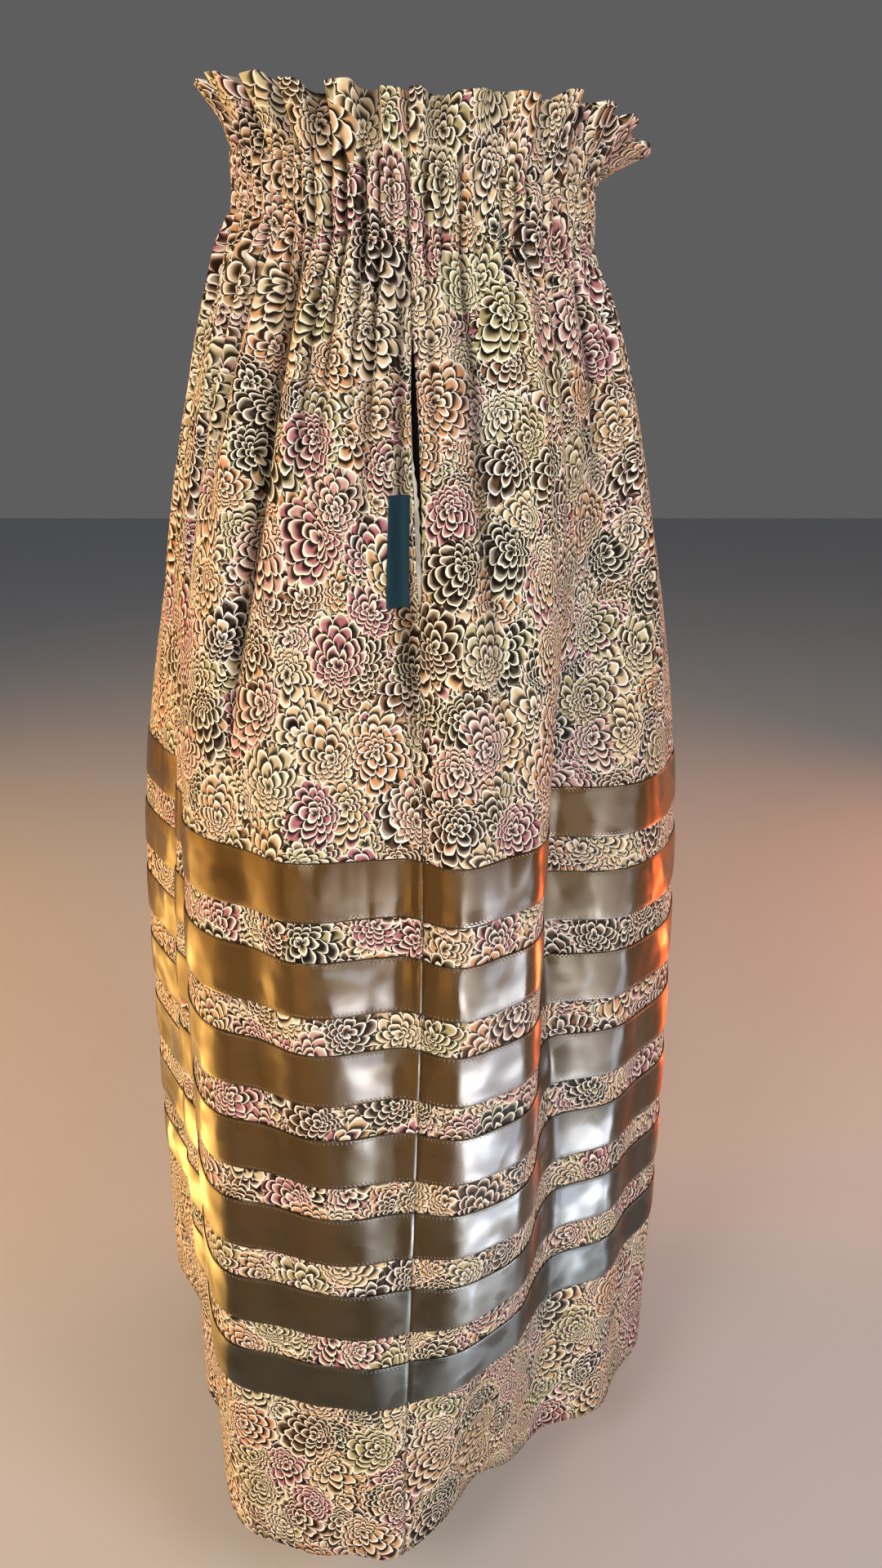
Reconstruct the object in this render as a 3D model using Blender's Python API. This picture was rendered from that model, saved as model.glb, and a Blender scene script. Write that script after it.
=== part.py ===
"""Gathered ribbon skirt with a ruffled heading, an elastic casing and seven satin ribbons.

The skirt is filled out as if worn. +Z is up and the origin is the middle of the elastic waist.
-Y is the wearer's left side, with the pocket and the side seam that shows, and -X is the front.
Each panel is a sheet of cloth: "share" runs across it from the near side seam (0) to the far one (1),
and "height" runs up the cloth from the hem. Angles go round the waist from -Y towards +X.
"""

import bmesh
import bpy
import numpy as np

# Cloth lengths, in metres, measured up from the hem.
HEM_BAND = 0.146
RIBBON_WIDTH = 0.038
RIBBON_GAP = 0.0255
RIBBON_COUNT = 7
CASING_TOP = 0.977
CASING_WIDTH = 0.038
HEADING = 0.042
WAIST_HEIGHT = CASING_TOP - CASING_WIDTH / 2
CASING_FOOT = CASING_TOP - CASING_WIDTH
YOKE_FOOT = 0.905
RIBBON_PITCH = RIBBON_WIDTH + RIBBON_GAP
RIBBON_TOP = HEM_BAND + RIBBON_WIDTH + (RIBBON_COUNT - 1) * RIBBON_PITCH

# Thicknesses and gaps.
CLOTH = 0.0022
RIBBON_THICKNESS = 0.0010
SEAM_GAP = 0.0003
LAY_GAP = 0.0003

# How finely a panel is divided: strips across it, each split in two where it is gathered.
STRIPS = 40
SPLIT = 2

# Half-sizes of the plain tube of cloth, folds left out, at heights above the hem.
SECTIONS = np.array(
    [
        # height, left, right, near, far
        (0.000, 0.226, 0.220, 0.258, 0.236),
        (0.300, 0.226, 0.222, 0.261, 0.232),
        (0.509, 0.218, 0.212, 0.261, 0.225),
        (0.675, 0.196, 0.194, 0.242, 0.208),
        (0.805, 0.166, 0.170, 0.198, 0.180),
        (0.875, 0.145, 0.152, 0.162, 0.156),
        (0.918, 0.129, 0.138, 0.140, 0.138),
        (CASING_FOOT, 0.118, 0.134, 0.131, 0.129),
        (CASING_TOP, 0.116, 0.133, 0.129, 0.127),
    ]
)

# Ridges (+) and troughs (-) that run down the cloth.
FOLD_ANGLE_HEIGHTS = (0.0, RIBBON_TOP, 0.90)
FOLD_DEPTH_HEIGHTS = (0.0, 0.25, RIBBON_TOP, 0.763, 0.90)
FOLDS = np.array(
    [
        # angle at hem, ribbon top, yoke; half-width in degrees; depth in mm at hem, low, ribbon top, hip, yoke
        (-72, -68, -64, 15, -38, -40, -38, -12, -6),
        (-48, -47, -54, 8, -18, -16, -14, -2, 4),
        (-25, -29, -40, 10, 28, 25, 10, 9, 6),
        (-13, -14, -30, 6, 10, 6, 8, -6, -6),
        (-13, -16, -20, 5, 4, 4, 8, 10, 9),
        (-3, -6, -6, 5, 16, 12, 8, 10, 8),
        (2, 2, 3, 3, 0, 0, -10, -14, -10),
        (6, 8, 10, 6, 2, 8, 20, 12, 7),
        (15, 20, 20, 9, -36, 4, 10, -8, -8),
        (22, 22, 33, 7, 0, 4, 10, 10, 8),
        (34, 38, 52, 14, -50, -48, -76, -30, -8),
        (60, 58, 68, 11, -28, -36, -10, 7, 6),
        (84, 84, 84, 8, -3, -2, 8, 6, 6),
        (100, 98, 97, 8, 10, 4, 2, -6, -6),
        (118, 115, 112, 9, 24, 18, 14, 9, 7),
        (137, 133, 128, 9, -24, -20, -16, -10, -7),
        (155, 152, 145, 10, 20, 18, 16, 10, 8),
        (172, 170, 163, 9, -22, -20, -16, -10, -8),
        (190, 188, 181, 10, 20, 18, 16, 12, 9),
        (208, 206, 199, 9, -26, -24, -18, -11, -8),
        (224, 222, 217, 9, 18, 16, 14, 10, 9),
        (240, 238, 234, 9, -14, -14, -14, -10, -8),
        (256, 255, 251, 9, 24, 20, 20, 9, 8),
        (274, 273, 268, 7, -4, -2, -2, -3, -4),
    ]
)

# Gathers under the elastic, and the waves of the ruffle above it.
GATHERS = STRIPS
GATHER_HEIGHTS = (0.80, 0.86, YOKE_FOOT, CASING_FOOT, WAIST_HEIGHT, CASING_TOP, CASING_TOP + HEADING)
GATHER_DEPTH = (0.0, 0.0004, 0.0022, 0.0036, 0.0030, 0.0036, 0.0004)
CASING_PUFF = 0.0015
RUFFLE_WAVES = 13
RUFFLE = np.array(
    [
        # angle, outward flare, wave depth, extra height of the top edge; in metres
        (-180, 0.012, 0.008, 0.000),
        (-110, 0.012, 0.009, -0.004),
        (-75, 0.010, 0.011, -0.005),
        (-45, 0.009, 0.011, -0.003),
        (-15, 0.005, 0.005, 0.000),
        (30, 0.005, 0.003, 0.006),
        (65, 0.014, 0.005, 0.006),
        (78, 0.028, 0.006, -0.006),
        (92, 0.040, 0.008, -0.018),
        (108, 0.030, 0.009, -0.014),
        (135, 0.014, 0.009, -0.002),
        (180, 0.012, 0.008, 0.000),
    ]
)

# Pocket slit in the near seam, the facing that shows in it, and the label beside it.
SLIT_TOP = 0.880
SLIT_FOOT = 0.7165
SLIT_HALF = 0.0018
FACING_THICKNESS = 0.0012
LABEL_TOP = 0.7845
LABEL_FOOT = SLIT_FOOT
LABEL_WIDTH = 0.0185
LABEL_INSET = 0.0012
LABEL_THICKNESS = 0.0008
LABEL_LIFT = 0.0009

# Colours as linear red, green and blue.
COTTON = (0.46, 0.34, 0.24)
FACING = (0.62, 0.55, 0.45)
LABEL = (0.012, 0.045, 0.060)
RIBBONS = (
    (0.150, 0.080, 0.035),
    (0.150, 0.082, 0.038),
    (0.140, 0.078, 0.036),
    (0.120, 0.070, 0.034),
    (0.090, 0.058, 0.032),
    (0.060, 0.048, 0.034),
    (0.030, 0.038, 0.036),
)

SIDES = {"front": -1.0, "back": 1.0}


def curve(x, xs, ys):
    """Smooth curve through the points (xs, ys), held level past both ends."""
    xs, ys = np.asarray(xs, float), np.asarray(ys, float)
    slopes = np.gradient(ys, xs)
    i = np.clip(np.searchsorted(xs, x) - 1, 0, len(xs) - 2)
    span = xs[i + 1] - xs[i]
    t = np.clip((x - xs[i]) / span, 0, 1)
    start = (1 + 2 * t) * (1 - t) ** 2 * ys[i] + t * (1 - t) ** 2 * span * slopes[i]
    return start + t * t * (3 - 2 * t) * ys[i + 1] + t * t * (t - 1) * span * slopes[i + 1]


def ease(x, low, high):
    """0 below low, 1 above high, and a smooth step between them."""
    t = np.clip((x - low) / (high - low), 0, 1)
    return t * t * (3 - 2 * t)


def wrapped(degrees):
    """An angle brought into -180 to 180 degrees."""
    return (np.asarray(degrees) + 180) % 360 - 180


def twist(height):
    """How far the near seam has turned from -Y at a height, in degrees."""
    return 3.5 * ease(height, 0.0, RIBBON_TOP)


def tube_radius(angle, height):
    """Radius of the cloth at an angle and a height, with its folds and without its gathers."""
    left, right, near, far = (curve(height, SECTIONS[:, 0], SECTIONS[:, k]) for k in (1, 2, 3, 4))
    across, along = np.sin(np.radians(angle)), np.cos(np.radians(angle))
    side = np.where(across < 0, left, right)
    depth = np.where(along > 0, near, far)
    radius = 1 / np.sqrt((across / side) ** 2 + (along / depth) ** 2)
    fade = 1 - ease(height, 0.90, CASING_FOOT)
    for fold in FOLDS:
        centre = curve(height, FOLD_ANGLE_HEIGHTS, fold[0:3])
        size = curve(height, FOLD_DEPTH_HEIGHTS, fold[4:9]) / 1000
        radius = radius + fade * size * np.exp(-((wrapped(angle - centre) / fold[3]) ** 2))
    return radius


def even_cloth_angles(side):
    """Angles at which equal widths of cloth end, from seam to seam, at the top of the ribbons."""
    turn = np.linspace(0, 180, 721)
    angle = twist(RIBBON_TOP) + side * turn
    radius = tube_radius(angle, np.full_like(angle, RIBBON_TOP))
    x, y = radius * np.sin(np.radians(angle)), radius * np.cos(np.radians(angle))
    length = np.concatenate([[0], np.cumsum(np.hypot(np.diff(x), np.diff(y)))])
    return length / length[-1], turn


def cloth_angle(side, share, height):
    """Angle of a thread line: evenly gathered at the waist, evenly spread over the folds below."""
    shares, turns = even_cloth_angles(side)
    spread = np.interp(share, shares, turns)
    hold = ease(height, 0.70, 0.93)
    return side * (hold * 180 * share + (1 - hold) * spread) + twist(height)


def waist_drop(angle, height):
    """The waist is not level: it sits lower on the near side and higher at the front."""
    turn = np.radians(angle)
    shape = -0.0075 * np.cos(turn) - 0.013 * np.sin(turn) - 0.008 * np.cos(2 * turn)
    return shape * ease(height, 0.62, 0.95)


def ruffle_wave(side, share):
    """The ruffle's waves, unevenly spaced, from -1 to 1."""
    uneven = share + 0.012 * np.sin(2 * np.pi * (2 * share + 0.1 * side)) + 0.006 * np.sin(2 * np.pi * 5 * share)
    return np.sin(2 * np.pi * RUFFLE_WAVES * uneven)


def gather_wave(side, share):
    """The small gathers under the elastic: a ridge between each two thread lines, uneven in depth."""
    uneven = 1 + 0.28 * np.sin(2 * np.pi * (5 * share + 0.2 * side)) + 0.2 * np.sin(2 * np.pi * (11 * share + 0.4))
    return -uneven * np.cos(2 * np.pi * GATHERS * share)


def seam_pull(side, share, height):
    """How far the near edge of a panel is drawn back from the seam along the pocket slit."""
    middle, half = (SLIT_TOP + SLIT_FOOT) / 2, (SLIT_TOP - SLIT_FOOT) / 2
    open_by = np.clip(1 - ((height - middle) / half) ** 2, 0, 1)
    return side * (SEAM_GAP / 2 + SLIT_HALF * open_by) * np.where(share == 0, 1, 0)


def cloth_points(side, share, height):
    """Outer surface of a panel, as an array of points in the skirt's frame."""
    share, height = np.broadcast_arrays(share, height)
    angle = cloth_angle(side, share, height)
    radius = tube_radius(angle, np.minimum(height, CASING_TOP))
    edges = np.sin(np.pi * np.clip(share, 0, 1)) ** 0.25
    depth = curve(height, GATHER_HEIGHTS, GATHER_DEPTH)
    radius = radius + edges * depth * gather_wave(side, share)
    radius = radius + CASING_PUFF * np.clip(1 - ((height - WAIST_HEIGHT) / (CASING_WIDTH / 2)) ** 2, 0, 1)
    up = np.clip((height - CASING_TOP) / HEADING, 0, 1)
    flare, wave, lift = (np.interp(wrapped(angle), RUFFLE[:, 0], RUFFLE[:, k]) for k in (1, 2, 3))
    radius = radius + flare * up**1.4 + edges * wave * up * ruffle_wave(side, share)
    turn = np.radians(angle)
    pull = seam_pull(side, share, height) - side * np.where(share == 1, SEAM_GAP / 2, 0)
    x = radius * np.sin(turn) + pull * np.cos(turn)
    y = -radius * np.cos(turn) + pull * np.sin(turn)
    z = height - WAIST_HEIGHT + waist_drop(angle, height) + lift * up
    return np.stack([x, y, z], axis=-1)


def outward(points, side):
    """Level unit vectors out of the cloth along a row, plain radial ones at the seams."""
    along = np.gradient(points[..., :2], axis=0) * side
    out = np.stack([along[..., 1], -along[..., 0]], axis=-1)
    radial = points[..., :2].copy()
    out[[0, -1]] = radial[[0, -1]]
    out /= np.linalg.norm(out, axis=-1, keepdims=True)
    return np.concatenate([out, np.zeros_like(out[..., :1])], axis=-1)


def strip_faces(low, high, flip):
    """Triangles between two rows of point numbers; the upper row may hold SPLIT times as many strips."""
    ratio = (len(high) - 1) // (len(low) - 1)
    faces = []
    for j in range(len(low) - 1):
        top = high[j * ratio : (j + 1) * ratio + 1]
        turn = (ratio + 1) // 2
        faces += [(low[j], top[k + 1], top[k]) for k in range(turn)]
        faces.append((low[j], low[j + 1], top[turn]))
        faces += [(low[j + 1], top[k + 1], top[k]) for k in range(turn, ratio)]
    return [f[::-1] for f in faces] if flip else faces


def wall(name, outer_rows, inner_rows, flip, material):
    """A closed sheet of cloth from matching rows of outer and inner points, lowest row first."""
    points, numbers = [], []
    for rows in (outer_rows, inner_rows):
        numbers.append([])
        for row in rows:
            start = len(points)
            points.extend(map(tuple, row))
            numbers[-1].append(list(range(start, start + len(row))))
    outer, inner = numbers
    faces = []
    for k in range(len(outer) - 1):
        faces += strip_faces(outer[k], outer[k + 1], flip)
        faces += strip_faces(inner[k], inner[k + 1], not flip)
        faces += strip_faces([inner[k][0], outer[k][0]], [inner[k + 1][0], outer[k + 1][0]], flip)
        faces += strip_faces([outer[k][-1], inner[k][-1]], [outer[k + 1][-1], inner[k + 1][-1]], flip)
    faces += strip_faces(inner[0], outer[0], flip)
    faces += strip_faces(outer[-1], inner[-1], flip)
    return solid(name, points, faces, material)


def solid(name, points, faces, material):
    """A mesh object from points and faces, with its normals facing out."""
    mesh = bpy.data.meshes.new(name)
    work = bmesh.new()
    verts = [work.verts.new(p) for p in points]
    for face in faces:
        work.faces.new([verts[i] for i in face])
    bmesh.ops.recalc_face_normals(work, faces=work.faces)
    work.to_mesh(mesh)
    work.free()
    mesh.materials.append(material)
    mesh.shade_smooth()
    mesh.set_sharp_from_angle(angle=np.radians(50))
    built = bpy.data.objects.new(name, mesh)
    bpy.context.scene.collection.objects.link(built)
    return built


def finish(name, colour, roughness, metallic=0.0):
    """A plain material."""
    material = bpy.data.materials.new(name)
    material.use_nodes = True
    shader = material.node_tree.nodes["Principled BSDF"]
    shader.inputs["Base Color"].default_value = (*colour, 1)
    shader.inputs["Roughness"].default_value = roughness
    shader.inputs["Metallic"].default_value = metallic
    return material


def ribbon_edges():
    """Heights of each ribbon's foot and top, the top ribbon first."""
    tops = [RIBBON_TOP - k * RIBBON_PITCH for k in range(RIBBON_COUNT)]
    return [(top - RIBBON_WIDTH, top) for top in tops]


def row_heights():
    """Heights of a panel's rows: single strips up to the yoke's foot, split strips from there up."""
    below = [0.0] + sorted(h for pair in ribbon_edges() for h in pair)
    below += [0.635, SLIT_FOOT, LABEL_TOP, 0.830, SLIT_TOP]
    above = [YOKE_FOOT, CASING_FOOT, WAIST_HEIGHT, CASING_TOP]
    above += [CASING_TOP + 0.5 * HEADING, CASING_TOP + HEADING]
    return below, above


def build_panel(name, side, material):
    """Front or back panel: ruffled heading, casing and skirt in one piece of cloth."""
    below, above = row_heights()
    outer_rows, inner_rows = [], []
    for height in below + above:
        strips = STRIPS * (SPLIT if height in above else 1)
        row = cloth_points(side, np.linspace(0, 1, strips + 1), height)
        out = outward(row, side) if height in below else radial(row)
        outer_rows.append(row)
        inner_rows.append(row - CLOTH * out)
    return wall(name, outer_rows, inner_rows, side < 0, material)


def radial(row):
    """Level unit vectors straight out from the middle of the skirt."""
    out = row * np.array([1, 1, 0])
    return out / np.linalg.norm(out, axis=-1, keepdims=True)


def build_ribbon(name, side, foot, top, material):
    """A ribbon on a panel: the panel's own points, moved out."""
    rows = [cloth_points(side, np.linspace(0, 1, STRIPS + 1), height) for height in (foot, top)]
    outs = [outward(row, side) for row in rows]
    inner = [row + LAY_GAP * out for row, out in zip(rows, outs)]
    outer = [row + RIBBON_THICKNESS * out for row, out in zip(inner, outs)]
    return wall(name, outer, inner, side < 0, material)


def build_label(name, material):
    """The label, sewn flat on the front panel along the pocket slit."""
    side = SIDES["front"]
    outer, inner = [], []
    for height in (LABEL_FOOT, LABEL_TOP):
        row = cloth_points(side, np.linspace(0, 1, STRIPS + 1), height)
        out = outward(row, side)
        length = np.concatenate([[0], np.cumsum(np.linalg.norm(np.diff(row, axis=0), axis=1))])
        steps = [LABEL_INSET, length[1], LABEL_INSET + LABEL_WIDTH]
        line, lift = (np.stack([np.interp(steps, length, part[:, k]) for k in range(3)], axis=-1) for part in (row, out))
        inner.append(line + LABEL_LIFT * lift)
        outer.append(line + (LABEL_LIFT + LABEL_THICKNESS) * lift)
    return wall(name, outer, inner, side < 0, material)


def build_facing(name, material):
    """The pocket's facing: a strip behind the slit, bridging the two panels on the inside."""
    outer, inner = [], []
    for height in (SLIT_FOOT, LABEL_TOP, 0.830, SLIT_TOP):
        line, lift = [], []
        for side, order in ((SIDES["front"], (1, 0)), (SIDES["back"], (0, 1))):
            row = cloth_points(side, np.linspace(0, 1, STRIPS + 1), height)
            line += [row[k] for k in order]
            lift += [outward(row, side)[k] for k in order]
        line, lift = np.array(line), np.array(lift)
        outer.append(line - (CLOTH + LAY_GAP) * lift)
        inner.append(line - (CLOTH + LAY_GAP + FACING_THICKNESS) * lift)
    return wall(name, outer, inner, False, material)


def main():
    """Builds the skirt."""
    for old in list(bpy.data.objects):
        bpy.data.objects.remove(old)
    for word, side in SIDES.items():
        build_panel(f"{word}_panel", side, finish(f"{word}_cotton", COTTON, 0.85))
        for number, (foot, top) in enumerate(ribbon_edges(), start=1):
            satin = finish(f"{word}_satin_{number}", RIBBONS[number - 1], 0.30)
            build_ribbon(f"{word}_ribbon_{number}", side, foot, top, satin)
    build_facing("pocket_facing", finish("plain_cotton", FACING, 0.85))
    build_label("side_label", finish("dark_weave", LABEL, 0.80))


main()
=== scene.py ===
"""Gathered ribbon skirt: printed cotton with a ruffled, elastic waist and seven satin ribbons.

+Z is up and the origin is the middle of the elastic waist. -Y is the side with the pocket slit and
the label, and -X is the wearer's front. A panel is a sheet of cloth: its share runs across it from
the near side seam (0) to the far one (1), and its height runs up the cloth from the hem. Lengths are in
metres unless a comment says otherwise.
"""

import math

import bpy
import numpy as np
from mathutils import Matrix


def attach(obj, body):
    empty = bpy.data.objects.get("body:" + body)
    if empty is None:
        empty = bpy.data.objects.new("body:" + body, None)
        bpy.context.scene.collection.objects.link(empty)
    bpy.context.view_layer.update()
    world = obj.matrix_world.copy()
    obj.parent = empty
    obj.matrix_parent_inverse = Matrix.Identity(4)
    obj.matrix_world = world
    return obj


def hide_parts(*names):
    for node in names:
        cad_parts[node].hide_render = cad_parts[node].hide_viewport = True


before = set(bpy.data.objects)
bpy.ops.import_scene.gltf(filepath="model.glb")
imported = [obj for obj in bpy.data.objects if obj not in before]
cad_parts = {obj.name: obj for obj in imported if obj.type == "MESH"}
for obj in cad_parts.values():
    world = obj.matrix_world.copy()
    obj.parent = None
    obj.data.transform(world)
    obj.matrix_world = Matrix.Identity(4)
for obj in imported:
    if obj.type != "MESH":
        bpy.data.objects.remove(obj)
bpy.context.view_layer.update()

# Cloth lengths from the hem, as the solids have them.
HEM_BAND = 0.146
RIBBON_WIDTH = 0.038
RIBBON_GAP = 0.0255
RIBBON_COUNT = 7
RIBBON_PITCH = RIBBON_WIDTH + RIBBON_GAP
RIBBON_TOP = HEM_BAND + RIBBON_WIDTH + (RIBBON_COUNT - 1) * RIBBON_PITCH
CASING_TOP = 0.977
CASING_WIDTH = 0.038
CASING_FOOT = CASING_TOP - CASING_WIDTH
WAIST_HEIGHT = CASING_TOP - CASING_WIDTH / 2
HEADING = 0.042
CLOTH_WIDTH = 0.82
LOW_FOLDS = 0.25
HIP = 0.763
YOKE = 0.90

# Walls of the shown cloth.
PANEL_WALL = 0.0010
RIBBON_WALL = 0.0005
LABEL_WALL = 0.0007
FACING_WALL = 0.0008

SECTIONS = np.array(
    [
        # height; half-axis towards the left, the right, the near side and the far side
        (0.000, 0.226, 0.220, 0.258, 0.236),
        (0.300, 0.226, 0.222, 0.261, 0.232),
        (0.509, 0.218, 0.212, 0.261, 0.225),
        (0.675, 0.196, 0.194, 0.242, 0.208),
        (0.805, 0.166, 0.170, 0.198, 0.180),
        (0.875, 0.145, 0.152, 0.162, 0.156),
        (0.918, 0.129, 0.138, 0.140, 0.138),
        (CASING_FOOT, 0.118, 0.134, 0.131, 0.129),
        (CASING_TOP, 0.116, 0.133, 0.129, 0.127),
    ]
)

FOLD_ANGLE_HEIGHTS = (0.0, RIBBON_TOP, YOKE)
FOLD_DEPTH_HEIGHTS = (0.0, LOW_FOLDS, RIBBON_TOP, HIP, YOKE)
FOLDS = np.array(
    [
        # angle at hem, ribbon top and yoke, and half-width, in degrees; depth in millimetres at hem, low
        # folds, ribbon top, hip and yoke
        (-72, -68, -64, 15, -38, -40, -38, -12, -6),
        (-48, -47, -54, 8, -18, -16, -14, -2, 4),
        (-25, -29, -40, 10, 28, 25, 10, 9, 6),
        (-13, -14, -30, 6, 10, 6, 8, -6, -6),
        (-13, -16, -20, 5, 4, 4, 8, 10, 9),
        (-3, -9, -9, 6, 16, 12, 6, 7, 7),
        (2, 2, 3, 3, 0, 0, -7, -8, -8),
        (6, 8, 10, 6, 2, 8, 20, 12, 7),
        (15, 20, 20, 9, -36, 4, 10, -8, -8),
        (22, 22, 33, 7, 0, 4, 10, 10, 8),
        (34, 38, 52, 14, -50, -48, -76, -30, -8),
        (60, 58, 68, 11, -16, -16, -4, 7, 6),
        (84, 84, 84, 8, -3, -2, 8, 6, 6),
        (100, 98, 97, 8, 10, 4, 2, -6, -6),
        (118, 115, 112, 9, 24, 18, 14, 9, 7),
        (137, 133, 128, 9, -24, -20, -16, -10, -7),
        (155, 152, 145, 10, 20, 18, 16, 10, 8),
        (172, 170, 163, 9, -22, -20, -16, -10, -8),
        (190, 188, 181, 10, 20, 18, 16, 12, 9),
        (208, 206, 199, 9, -26, -24, -18, -11, -8),
        (224, 222, 217, 9, 18, 16, 14, 10, 9),
        (240, 238, 234, 9, -14, -14, -14, -10, -8),
        (256, 255, 251, 9, 24, 20, 20, 9, 8),
        (274, 273, 268, 7, -4, -2, -2, -3, -4),
    ]
)

GATHERS = 40
GATHER_DEPTH = 0.0050
# How deep the gathers are at each angle round the waist, as a share of that depth.
FULLNESS_ANGLES = (-180, -130, -75, -20, 0, 25, 80, 130, 180)
FULLNESS_SHARES = (1.0, 1.1, 1.5, 1.5, 1.1, 0.65, 0.9, 1.0, 1.0)
CASING_PUFF = 0.0015

RUFFLE_WAVES = 13
RUFFLE = np.array(
    [
        # angle in degrees; outward flare, wave depth, extra height of the top edge
        (-180, 0.012, 0.008, 0.000),
        (-110, 0.012, 0.009, -0.004),
        (-75, 0.010, 0.011, -0.005),
        (-45, 0.009, 0.011, -0.003),
        (-15, 0.006, 0.009, 0.000),
        (30, 0.005, 0.003, 0.006),
        (65, 0.014, 0.005, 0.006),
        (78, 0.028, 0.003, -0.006),
        (92, 0.040, 0.0035, -0.018),
        (108, 0.030, 0.005, -0.014),
        (135, 0.014, 0.009, -0.002),
        (180, 0.012, 0.008, 0.000),
    ]
)

SLIT_TOP = 0.880
SLIT_FOOT = 0.7165
SLIT_HALF = 0.0024
LABEL_TOP = 0.7845
LABEL_WIDTH = 0.0185
LABEL_INSET = 0.0012
LABEL_SLANT = 0.0045

# How far the ribbons and the label stand off the panel, with what their swell or edge adds, and how far
# behind it the facing lies.
RIBBON_LIFT = 0.0009
RIBBON_BOW = 0.0005
LABEL_LIFT = 0.0010
LABEL_BOW = 0.0005
FACING_DEPTH = 0.0017

SEAM_HALF_GAP = 0.00015
SEAM_EASE = 0.004
STITCH_PITCH = 0.0030
STITCH_RADIUS = 0.00028
STITCH_DIP_WIDTH = 0.0022
RIBBON_STITCH_INSET = 0.0022
# Each row of stitches round a panel: its name, its height and how far it draws the cloth in.
STITCH_ROWS = (
    ("casing_top", CASING_TOP, 0.0012),
    ("casing_foot", CASING_FOOT, 0.0012),
    ("hem", 0.022, 0.0004),
)

SIDES = {"front": -1.0, "back": 1.0}


def curve(x, xs, ys):
    """Smooth curve through the points (xs, ys): cubic pieces that keep the mean slope at each point."""
    xs, ys = np.asarray(xs, float), np.asarray(ys, float)
    slopes = np.gradient(ys, xs)
    i = np.clip(np.searchsorted(xs, x) - 1, 0, len(xs) - 2)
    span = xs[i + 1] - xs[i]
    t = np.clip((x - xs[i]) / span, 0, 1)
    start = (1 + 2 * t) * (1 - t) ** 2 * ys[i] + t * (1 - t) ** 2 * span * slopes[i]
    return start + t * t * (3 - 2 * t) * ys[i + 1] + t * t * (t - 1) * span * slopes[i + 1]


def ease(x, low, high):
    """0 below low, 1 above high, and the cubic step 3t^2 - 2t^3 between them."""
    t = np.clip((x - low) / (high - low), 0, 1)
    return t * t * (3 - 2 * t)


def wave(x, turns, phase=0.0):
    """Sine that makes this many turns as x goes from 0 to 1, started this share of a turn ahead."""
    return np.sin(2 * np.pi * (turns * x + phase))


def wrapped(degrees):
    """An angle brought into -180 to 180 degrees."""
    return (np.asarray(degrees) + 180) % 360 - 180


def twist(height):
    """Degrees that the near seam has turned from -Y at a height."""
    return 3.5 * ease(height, 0.0, RIBBON_TOP)


def tube_radius(angle, height):
    """Radius of the draped cloth: an ellipse with four unlike quarters at each height, plus a bell curve
    across each fold."""
    left, right, near, far = (curve(height, SECTIONS[:, 0], SECTIONS[:, k]) for k in (1, 2, 3, 4))
    across, along = np.sin(np.radians(angle)), np.cos(np.radians(angle))
    side = np.where(across < 0, left, right)
    depth = np.where(along > 0, near, far)
    radius = 1 / np.sqrt((across / side) ** 2 + (along / depth) ** 2)
    fade = 1 - ease(height, YOKE, CASING_FOOT)
    for fold in FOLDS:
        centre = curve(height, FOLD_ANGLE_HEIGHTS, fold[0:3])
        size = curve(height, FOLD_DEPTH_HEIGHTS, fold[4:9]) / 1000
        radius = radius + fade * size * np.exp(-((wrapped(angle - centre) / fold[3]) ** 2))
    return radius


def cloth_angle(side, share, height):
    """Angle of a thread line: evenly gathered at the waist, evenly spread over the folds below."""
    turn = np.linspace(0, 180, 721)
    angle = twist(RIBBON_TOP) + side * turn
    radius = tube_radius(angle, np.full_like(angle, RIBBON_TOP))
    x, y = radius * np.sin(np.radians(angle)), radius * np.cos(np.radians(angle))
    length = np.concatenate([[0], np.cumsum(np.hypot(np.diff(x), np.diff(y)))])
    spread = np.interp(share, length / length[-1], turn)
    hold = ease(height, 0.70, 0.93)
    return side * (hold * 180 * share + (1 - hold) * spread) + twist(height)


def waist_drop(angle, height):
    """The waist sits lower on the near side and higher at the front: three slow waves round it."""
    turn = np.radians(angle)
    shape = -0.0075 * np.cos(turn) - 0.013 * np.sin(turn) - 0.008 * np.cos(2 * turn)
    return shape * ease(height, 0.62, 0.95)


def fullness(side, share):
    """How deep the gathers are round the waist: deepest towards the front, shallow behind the slit."""
    return np.interp(side * 180 * share, FULLNESS_ANGLES, FULLNESS_SHARES)


def casing_bow(height):
    """0 at the casing's two rows of stitches and 1 midway between them: a parabola."""
    return np.clip(1 - ((height - WAIST_HEIGHT) / (CASING_WIDTH / 2)) ** 2, 0, 1)


def heading_rise(height):
    """0 at the casing's top and 1 at the top edge of the ruffle."""
    return np.clip((height - CASING_TOP) / HEADING, 0, 1)


def gathers(side, share, height):
    """Small gathers: broad ridges with narrow valleys, the cube of a raised cosine, uneven in spacing and
    depth, held in the casing and running down below it to a length of its own for each gather."""
    even = GATHERS * share + 0.16 * wave(share, 6.3, 0.2 * side) + 0.10 * wave(share, 14.7, 0.4)
    ridge = 0.5 - 1.6 * (0.5 + 0.5 * np.cos(2 * np.pi * even)) ** 3
    uneven = 1 + 0.28 * wave(share, 5, 0.2 * side) + 0.2 * wave(share, 11, 0.4)
    reach = 0.024 + 0.036 * (1 + wave(share, 9.3, 0.3 * side) * wave(share, 4.1, 0.1)) ** 1.5
    below = np.exp(-np.clip(CASING_FOOT - height, 0, None) / reach)
    above = 1 - 0.93 * ease(height, CASING_TOP, CASING_TOP + 0.5 * HEADING)
    held = 1 - 0.22 * casing_bow(height)
    return GATHER_DEPTH * fullness(side, share) * uneven * ridge * below * above * held


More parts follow.
